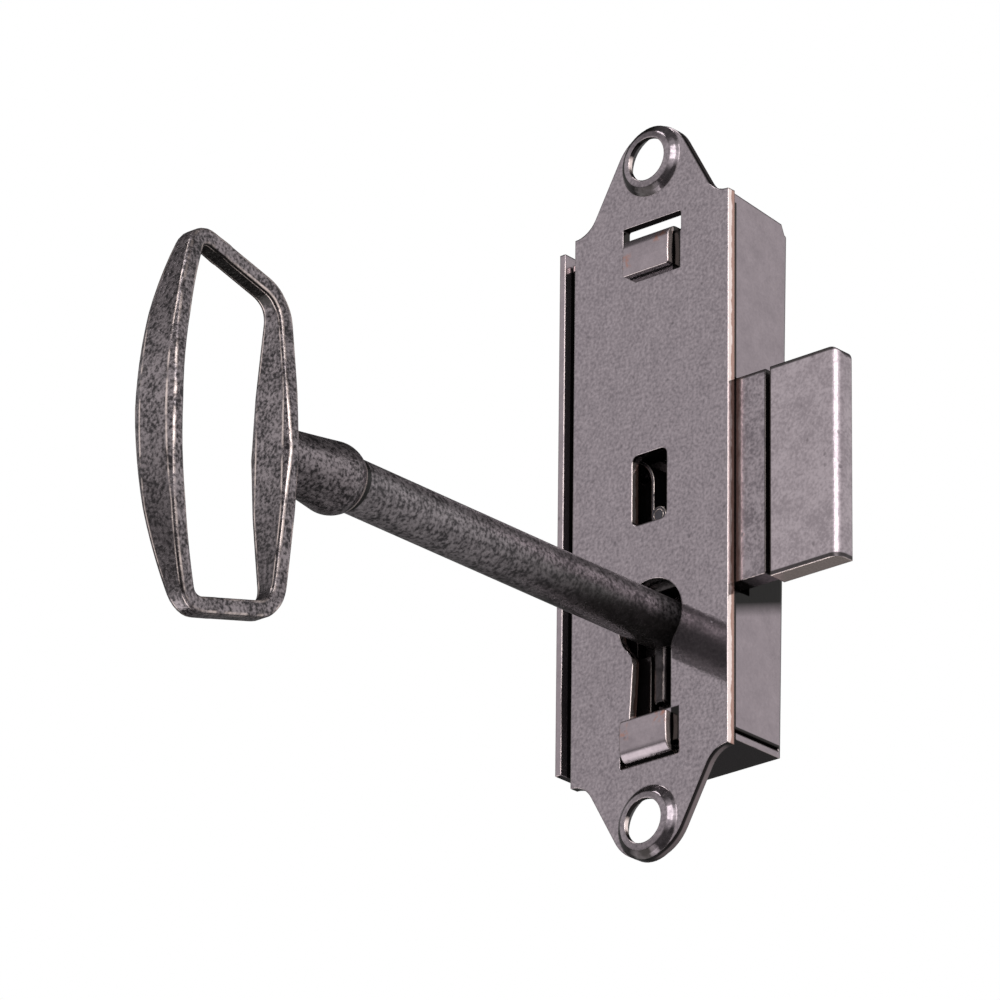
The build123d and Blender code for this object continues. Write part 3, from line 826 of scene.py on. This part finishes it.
# The bit gets a darker copy of the key steel: painted shade, as it sits deep in the keyhole.
shaded_bit_steel = make_steel(
    "shaded_bit_steel", grey(62, 57, 59), grey(36, 33, 34), pits=0.15, edge_width=0.3, edge_amount=1.0,
)
key_casting = make_steel(
    "key_casting", grey(136, 127, 130), grey(48, 44, 46), cast_marks,
    metallic=0.7, roughness=0.28, speck=0.3, specks=1.05, clouds=0.9, pits=0.2, pit_cells=2600.0,
    pit_depth=0.6, skin_depth=0.45, line_depth=0.0, edge_amount=0.2,
)
key_steel = make_steel(
    "key_steel", grey(142, 134, 137), grey(58, 54, 56), shaft_marks,
    metallic=0.5, roughness=0.3, speck=0.33, specks=1.0, clouds=0.6, pits=0.18, pit_cells=2600.0,
    squeeze=(1.0, 0.2, 1.0), pit_depth=0.5, skin_depth=0.3,
)
print("finishes:", len([m for m in bpy.data.materials if m.name.endswith(("steel", "casting"))]))

# %% [markdown]
# ## The key's bow
# On the real key the bow is a cast loop. Its two upright bars swell in the middle, and on each side of a
# narrow flat the band slopes off, so every bar shows fine ridges that catch the light. CAD has the loop
# with sharp edges and no slopes. Here the bow is made in two pieces, the loop and the socket. The loop
# follows a path: a curve goes round the middle of the band, a section with the slopes is swept along it,
# and then every point is moved sideways by the rule for the bar's width. That is a job for Geometry Nodes,
# because the rule and all sizes stay named inputs. Beveling the CAD mesh would be harder, as its sharp
# edges meet at thin wedges. As in the photograph, loop and socket sit a little below the shaft's line.

# %% Mid-line of the bow
KEY_HEIGHT = -11.85
BOW_FRONT = -59.9
BOW_BACK = -45.05
BOW_CORNER = -56.1
FRONT_HALF_HEIGHT = 16.85
BACK_HALF_HEIGHT = 13.95
BAND = 1.45
ARC_STEPS = 24
SOCKET_END = -37.5
LOOP_DROP = 0.38
SOCKET_DROP = 0.16
LOOP_HEIGHT = KEY_HEIGHT - LOOP_DROP
SOCKET_HEIGHT = KEY_HEIGHT - SOCKET_DROP


def bow_line():
    """Lists points on the middle of the band as depth and height from the loop's own line."""
    inset = BAND / 2
    depth = BOW_CORNER - BOW_FRONT
    radius = (FRONT_HALF_HEIGHT ** 2 + depth ** 2) / (2 * depth)
    middle = Vector((BOW_FRONT + radius, 0))
    start = Vector((BOW_CORNER, FRONT_HALF_HEIGHT))
    along = (Vector((BOW_BACK, BACK_HALF_HEIGHT)) - start).normalized()
    start += Vector((along.y, -along.x)) * inset
    towards = start - middle
    half = towards.dot(along)
    step = -half - sqrt(half ** 2 - towards.length_squared + (radius - inset) ** 2)
    front_corner = start + along * step
    back_corner = start + along * ((BOW_BACK - inset - start.x) / along.x)
    top = (front_corner - middle).angle(Vector((-1, 0)))
    points = []
    for i in range(ARC_STEPS + 1):
        turn = top * (2 * i / ARC_STEPS - 1)
        points.append(middle + Vector((-cos(turn), sin(turn))) * (radius - inset))
    points.append(back_corner)
    points.append(Vector((back_corner.x, -back_corner.y)))
    return points


bow_points = bow_line()
print("bow line:", len(bow_points), "points, corner", [round(v, 2) for v in bow_points[0]])

# %% [markdown]
# The curve is a plain poly line in space. Geometry Nodes round its corners later.

# %% Curve object
def curve_object(name, points, cyclic):
    data = bpy.data.curves.new(name, "CURVE")
    data.dimensions = "3D"
    spline = data.splines.new("POLY")
    spline.points.add(len(points) - 1)
    for item, place in zip(spline.points, points):
        item.co = (*(v * MM for v in place), 1)
    spline.use_cyclic_u = cyclic
    return new_object(name, data)


bow_curve = curve_object("bow_line", [(0, y, LOOP_HEIGHT + z) for y, z in bow_points], True)
print("curve:", bow_curve.name)

# %% [markdown]
# A modifier's inputs are set by the identifier of their socket. The last helper finds it by name and sets
# it before Blender evaluates anything, then turns the result into a plain mesh object and removes the
# source. Both trees end alike: instances are made real, and the material is set.

# %% Apply a tree
SOCKET_KINDS = {float: "NodeSocketFloat", int: "NodeSocketInt", tuple: "NodeSocketVector"}


def new_geometry_tree(name, inputs):
    tree = bpy.data.node_groups.new(name, "GeometryNodeTree")
    tree.interface.new_socket("Geometry", in_out="INPUT", socket_type="NodeSocketGeometry")
    for label, value in inputs.items():
        kind = SOCKET_KINDS[type(value)]
        tree.interface.new_socket(label, in_out="INPUT", socket_type=kind).default_value = value
    tree.interface.new_socket("Material", in_out="INPUT", socket_type="NodeSocketMaterial")
    tree.interface.new_socket("Geometry", in_out="OUTPUT", socket_type="NodeSocketGeometry")
    return tree, add_node(tree, "NodeGroupInput").outputs


def end_geometry_tree(tree, given, shaped):
    whole = add_node(tree, "GeometryNodeRealizeInstances", {"Geometry": shaped.outputs[0]})
    inputs = {"Geometry": whole.outputs[0], "Material": given["Material"]}
    painted = add_node(tree, "GeometryNodeSetMaterial", inputs)
    add_node(tree, "NodeGroupOutput", {"Geometry": painted.outputs[0]})
    return tree


def apply_tree(source, tree, name, values):
    modifier = source.modifiers.new(tree.name, "NODES")
    modifier.node_group = tree
    for item in tree.interface.items_tree:
        if item.item_type == "SOCKET" and item.in_out == "INPUT" and item.name in values:
            modifier[item.identifier] = values[item.name]
    evaluated = source.evaluated_get(bpy.context.evaluated_depsgraph_get())
    mesh = bpy.data.meshes.new_from_object(evaluated)
    mesh.name = name
    source.modifiers.clear()
    bpy.data.objects.remove(source)
    return new_object(name, mesh)


# %% [markdown]
# The section of the band is flat in the middle and slopes off towards both sides. It is drawn for the
# widest place, and one quarter is mirrored into the whole. Points sit close together at the ridges and the
# edges, so that an attribute can mark them later as a narrow line.

# %% Section of the band
FLAT_HALF = 1.45
EDGE_HALF = 2.28
BEVEL_SLOPE = 0.36
EDGE_HEIGHT = BAND / 2 - BEVEL_SLOPE * (EDGE_HALF - FLAT_HALF)
QUARTER = (
    (FLAT_HALF - 0.14, BAND / 2), (FLAT_HALF, BAND / 2), (FLAT_HALF + 0.14, BAND / 2 - BEVEL_SLOPE * 0.14),
    (EDGE_HALF - 0.28, EDGE_HEIGHT + BEVEL_SLOPE * 0.28),
    (EDGE_HALF - 0.15, EDGE_HEIGHT + BEVEL_SLOPE * 0.15), (EDGE_HALF - 0.04, EDGE_HEIGHT - 0.04),
    (EDGE_HALF, EDGE_HEIGHT - 0.14), (EDGE_HALF, EDGE_HEIGHT - 0.28),
)


def whole_section(quarter):
    lower = [(x, -y) for x, y in reversed(quarter)]
    right = list(quarter) + lower
    return right + [(-x, y) for x, y in reversed(right)]


section_curve = curve_object("band_section", [(x, y, 0) for x, y in whole_section(QUARTER)], True)
print("section:", len(section_curve.data.splines[0].points), "points")

# %% [markdown]
# The tree starts with the path and the section. The path's corners are rounded and its points spaced
# evenly. Named attributes store the middle of the path, so that the thickness can be changed about it, and
# where the section's ridges and edges are, for the material.

# %% Path and section
CORNER_POINTS = 8


def store(tree, geometry, label, value, kind="FLOAT"):
    inputs = {"Geometry": geometry, "Name": label, "Value": value}
    return add_node(tree, "GeometryNodeStoreNamedAttribute", inputs, data_type=kind).outputs[0]


def own_position(tree):
    return add_node(tree, "GeometryNodeInputPosition").outputs[0]


def rounded_path(tree, given):
    behind = math_node(tree, "GREATER_THAN", axes(tree, own_position(tree))["Y"], given["Middle Depth"])
    radius = mix_value(tree, behind, given["Front Corner Radius"], given["Back Corner Radius"])
    path = add_node(tree, "GeometryNodeFilletCurve", {
        "Curve": given["Geometry"], "Radius": radius, "Count": CORNER_POINTS, "Limit Radius": True,
    }, mode="POLY")
    inputs = {"Curve": path.outputs[0], "Length": given["Step"]}
    path = add_node(tree, "GeometryNodeResampleCurve", inputs, mode="LENGTH")
    inputs = {"Curve": path.outputs[0], "Normal": (1, 0, 0)}
    path = add_node(tree, "GeometryNodeSetCurveNormal", inputs, mode="FREE")
    return store(tree, path.outputs[0], "middle", own_position(tree), "FLOAT_VECTOR")


def marked_section(tree, given):
    section = add_node(tree, "GeometryNodeObjectInfo", {"Object": given["Section"]}).outputs["Geometry"]
    across = math_node(tree, "ABSOLUTE", axes(tree, own_position(tree))["X"])
    for label, line in (("ridge", "Flat Half Width"), ("rim", "Edge")):
        away = math_node(tree, "ABSOLUTE", minus(tree, across, given[line]))
        near = math_node(tree, "LESS_THAN", away, given["Mark Half Width"])
        section = store(tree, section, label, near)
    return section


# %% [markdown]
# The width rule is a parabola in the height above or below the loop's line, with one set of numbers for the
# outer bar and one for the inner bar. It stops at the neck width. The flat keeps its width as long as it
# can, so the ridges run straight, and the slopes beside it take what is left. A narrower slope also falls
# less, so the band gets a little thicker at its edges, measured from the middle of the path.

# %% Width rule
def bar_half_width(tree, given, place):
    """Gives half the bar's width at a place on the path."""
    rise = math_node(tree, "ABSOLUTE", minus(tree, place["Z"], given["Loop Height"]))
    inner = math_node(tree, "GREATER_THAN", place["Y"], given["Middle Depth"])
    slope = mix_value(tree, inner, given["Outer Slope"], given["Inner Slope"])
    curve = mix_value(tree, inner, given["Outer Curve"], given["Inner Curve"])
    lost = product(tree, rise, math_node(tree, "ADD", slope, product(tree, curve, rise)))
    narrowed = minus(tree, given["Half Width"], lost)
    return math_node(tree, "MAXIMUM", narrowed, given["Neck Half Width"])


def shaped_place(tree, given, middle):
    """Gives where each point of the swept section goes."""
    half = bar_half_width(tree, given, axes(tree, middle))
    sideways = axes(tree, own_position(tree))["X"]
    away = math_node(tree, "ABSOLUTE", sideways)
    full_flat = given["Flat Half Width"]
    flat = math_node(tree, "MINIMUM", full_flat, minus(tree, half, given["Least Slope Width"]))
    on_flat = math_node(tree, "MINIMUM", away, full_flat)
    on_flat = product(tree, on_flat, math_node(tree, "DIVIDE", flat, full_flat))
    full_slope = minus(tree, given["Half Width"], full_flat)
    slope_share = math_node(tree, "DIVIDE", minus(tree, half, flat), full_slope)
    beyond = math_node(tree, "MAXIMUM", minus(tree, away, full_flat), 0.0)
    on_slope = product(tree, beyond, slope_share)
    side = math_node(tree, "SIGN", sideways)
    new_sideways = product(tree, math_node(tree, "ADD", on_flat, on_slope), side)
    thick = []
    for bolt_shadow in (on_slope, beyond):
        fall = product(tree, given["Slope"], bolt_shadow)
        thick.append(minus(tree, given["Half Thickness"], fall))
    offset = vector_node(tree, "SUBTRACT", own_position(tree), middle)[0]
    offset = vector_node(tree, "SCALE", offset, Scale=math_node(tree, "DIVIDE", *thick))[0]
    moved = axes(tree, vector_node(tree, "ADD", middle, offset)[0])
    inputs = {"X": new_sideways, "Y": moved["Y"], "Z": moved["Z"]}
    return add_node(tree, "ShaderNodeCombineXYZ", inputs).outputs[0]


# %% [markdown]
# The tree's inputs carry all sizes. The helper attribute for the middle is dropped at the end, and the two
# marks stay in the mesh for the material.

# %% Bow tree
def make_bow_tree():
    tree, given = new_geometry_tree("swept_bow", {
        "Half Width": EDGE_HALF * MM, "Neck Half Width": 0.85 * MM, "Half Thickness": BAND / 2 * MM,
        "Flat Half Width": FLAT_HALF * MM, "Least Slope Width": 0.3 * MM, "Slope": BEVEL_SLOPE,
        "Front Corner Radius": 3.4 * MM, "Back Corner Radius": 2.7 * MM, "Step": 0.35 * MM,
        "Edge": (EDGE_HALF - 0.1) * MM, "Mark Half Width": 0.07 * MM, "Loop Height": LOOP_HEIGHT * MM,
        "Middle Depth": (BOW_FRONT + BOW_BACK) / 2 * MM,
        "Outer Slope": 0.0340, "Outer Curve": 3.73, "Inner Slope": 0.0992, "Inner Curve": 0.855,
    })
    tree.interface.new_socket("Section", in_out="INPUT", socket_type="NodeSocketObject")
    inputs = {"Curve": rounded_path(tree, given), "Profile Curve": marked_section(tree, given)}
    sweep = add_node(tree, "GeometryNodeCurveToMesh", inputs)
    middle = add_node(tree, "GeometryNodeInputNamedAttribute", {"Name": "middle"}, data_type="FLOAT_VECTOR")
    place = shaped_place(tree, given, middle.outputs[0])
    shaped = add_node(tree, "GeometryNodeSetPosition", {"Geometry": sweep.outputs[0], "Position": place})
    inputs = {"Geometry": shaped.outputs[0], "Name": "middle"}
    shaped = add_node(tree, "GeometryNodeRemoveAttribute", inputs)
    smooth = add_node(tree, "GeometryNodeSetShadeSmooth", {"Geometry": shaped.outputs[0]})
    return end_geometry_tree(tree, given, smooth)


bow_loop = apply_tree(bow_curve, make_bow_tree(), "bow_loop", {
    "Material": key_casting, "Section": section_curve,
})
bpy.data.objects.remove(section_curve)
print("bow loop:", len(bow_loop.data.polygons), "faces")

# %% [markdown]
# The socket is turned: a profile goes round a line along the key. Its open end is rounded, and its mouth
# goes in a little round the shaft and is just wider than it, which shows as the dark seam in the
# photograph.

# %% Turned pieces
SOCKET_STEPS = 72


def arc_points(start, through, end, steps):
    """Lists points on the circle through three points, without the first one."""
    a, b, c = (Vector(p) for p in (start, through, end))
    d = 2 * (a.x * (b.y - c.y) + b.x * (c.y - a.y) + c.x * (a.y - b.y))
    squares = [v.length_squared for v in (a, b, c)]
    x = (squares[0] * (b.y - c.y) + squares[1] * (c.y - a.y) + squares[2] * (a.y - b.y)) / d
    y = (squares[0] * (c.x - b.x) + squares[1] * (a.x - c.x) + squares[2] * (b.x - a.x)) / d
    middle = Vector((x, y))
    arm = a - middle
    turn = arm.angle_signed(c - middle)
    points = []
    for i in range(1, steps + 1):
        angle = -turn * i / steps
        points.append((
            middle.x + arm.x * cos(angle) - arm.y * sin(angle),
            middle.y + arm.x * sin(angle) + arm.y * cos(angle),
        ))
    return points


def turned_mesh(name, profile, height, steps):
    """Turns a profile of radius and depth, which starts and ends on the line, about a line along Y."""
    mesh = bpy.data.meshes.new(name)
    verts = [(0, profile[0][1], height)]
    for radius, depth in profile[1:-1]:
        for i in range(steps):
            turn = 2 * pi * i / steps
            verts.append((radius * cos(turn), depth, height + radius * sin(turn)))
    verts.append((0, profile[-1][1], height))
    starts = [1 + ring * steps for ring in range(len(profile) - 2)]
    faces = []
    for i in range(steps):
        j = (i + 1) % steps
        faces.append((0, 1 + i, 1 + j))
        for low, high in zip(starts, starts[1:]):
            faces.append((low + i, high + i, high + j, low + j))
        faces.append((starts[-1] + i, len(verts) - 1, starts[-1] + j))
    mesh.from_pydata([tuple(v * MM for v in point) for point in verts], [], faces)
    mesh.polygons.foreach_set("use_smooth", [True] * len(faces))
    mesh.update()
    return mesh


SOCKET_START = (2.3, BOW_BACK)
SOCKET_WIDEST = (2.98, SOCKET_END - 2.2)
SOCKET_RIM = (2.46, SOCKET_END)
MOUTH_RADIUS = 2.29
MOUTH_END = SOCKET_END - 1.6
socket_profile = [(0, BOW_BACK - 0.5), (2.0, BOW_BACK - 0.5), (2.26, BOW_BACK - 0.25), SOCKET_START]
socket_profile += arc_points(SOCKET_START, (2.72, BOW_BACK + 3.4), SOCKET_WIDEST, 14)
socket_profile += arc_points(SOCKET_WIDEST, (2.88, SOCKET_END - 0.8), SOCKET_RIM, 10)
socket_profile += [
    (2.38, SOCKET_END - 0.02), (2.31, SOCKET_END - 0.12), (MOUTH_RADIUS, SOCKET_END - 0.5),
    (MOUTH_RADIUS, MOUTH_END), (0, MOUTH_END),
]
socket_mesh = turned_mesh("bow_socket", socket_profile, SOCKET_HEIGHT, SOCKET_STEPS)
socket_mesh.materials.append(key_casting)
bow_socket = new_object("bow_socket", socket_mesh)
print("socket:", len(socket_mesh.polygons), "faces")

# %% [markdown]
# Flat faces that are shaded smooth look swollen. We mark edges sharper than 40 degrees, so rounded parts
# stay smooth and true corners stay crisp. Then both pieces ride on the key, and the loop stands for the CAD
# bow.

# %% Hand over the bow
SMOOTH_LIMIT = radians(40)


def smooth_by_angle(piece):
    piece.data.set_sharp_from_angle(angle=SMOOTH_LIMIT)


def reach(piece, pick):
    """Gives the lowest or highest coordinates of a piece in millimetres."""
    return [round(pick(v.co[axis] for v in piece.data.vertices) / MM, 2) for axis in range(3)]


for piece in (bow_loop, bow_socket):
    smooth_by_angle(piece)
    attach(piece, "key")
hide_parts("key_bow")
print("bow from", reach(bow_loop, min), "to", reach(bow_loop, max), "CAD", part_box("key_bow"))

# %% [markdown]
# ## Rivets of the bolt head
# Two equal rivets hold the head on the tail. One rivet is turned as a mesh, and a tree sets it on every
# point of a line, so number, place and pitch are inputs. The copies are made real at the end, because an
# export drops instances.

# %% Rivets
RIVET_PROFILE = (
    (0, 1.45), (0.8, 1.45), (0.9, 1.55), (0.9, 2.8), (1.5, 2.8), (1.5, 2.98), (1.44, 3.08), (1.3, 3.16),
    (1.05, 3.22), (0.6, 3.25), (0, 3.25),
)
RIVET_STEPS = 40
RIVET_LEFT = 14.9
RIVET_LOW = -6.0
RIVET_PITCH = 8.8


def make_row_tree():
    tree, given = new_geometry_tree("row_of_pieces", {
        "Count": 2, "First Place": (0.0, 0.0, 0.0), "Pitch": (0.0, 0.0, 0.001),
    })
    inputs = {"Count": given["Count"], "Start Location": given["First Place"], "Offset": given["Pitch"]}
    row = add_node(tree, "GeometryNodeMeshLine", inputs, mode="OFFSET")
    inputs = {"Points": row.outputs[0], "Instance": given["Geometry"]}
    copies = add_node(tree, "GeometryNodeInstanceOnPoints", inputs)
    return end_geometry_tree(tree, given, copies)


rivet_mesh = turned_mesh("one_rivet", RIVET_PROFILE, 0, RIVET_STEPS)
rivet_source = new_object("one_rivet", rivet_mesh)
head_rivets = apply_tree(rivet_source, make_row_tree(), "head_rivets", {
    "Count": 2, "First Place": (RIVET_LEFT * MM, 0.0, RIVET_LOW * MM),
    "Pitch": (0.0, 0.0, RIVET_PITCH * MM), "Material": stud_steel,
})
smooth_by_angle(head_rivets)
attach(head_rivets, "bolt")
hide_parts("bolt_rivets")
print("rivets:", len(head_rivets.data.polygons), "faces")

# %% [markdown]
# ## Finishes on the CAD nodes
# A CAD node whose shape is right stays, and only gets its material.

# %% Assign
FINISH = {
    "front_plate": plate_steel,
    "case_shell": case_steel,
    "guide_studs": stud_steel,
    "drill_pin": stud_steel,
    "spring_post": spring_steel,
    "friction_spring": spring_steel,
    "bolt_tail": tail_steel,
    "bolt_head": bolt_steel,
    "bolt_rivets": stud_steel,
    "key_bow": key_casting,
    "key_shaft": key_steel,
    "key_bit": shaded_bit_steel,
}
for name, finish in FINISH.items():
    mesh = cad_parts[name].data
    mesh.materials.clear()
    mesh.materials.append(finish)
print("painted:", len(FINISH))
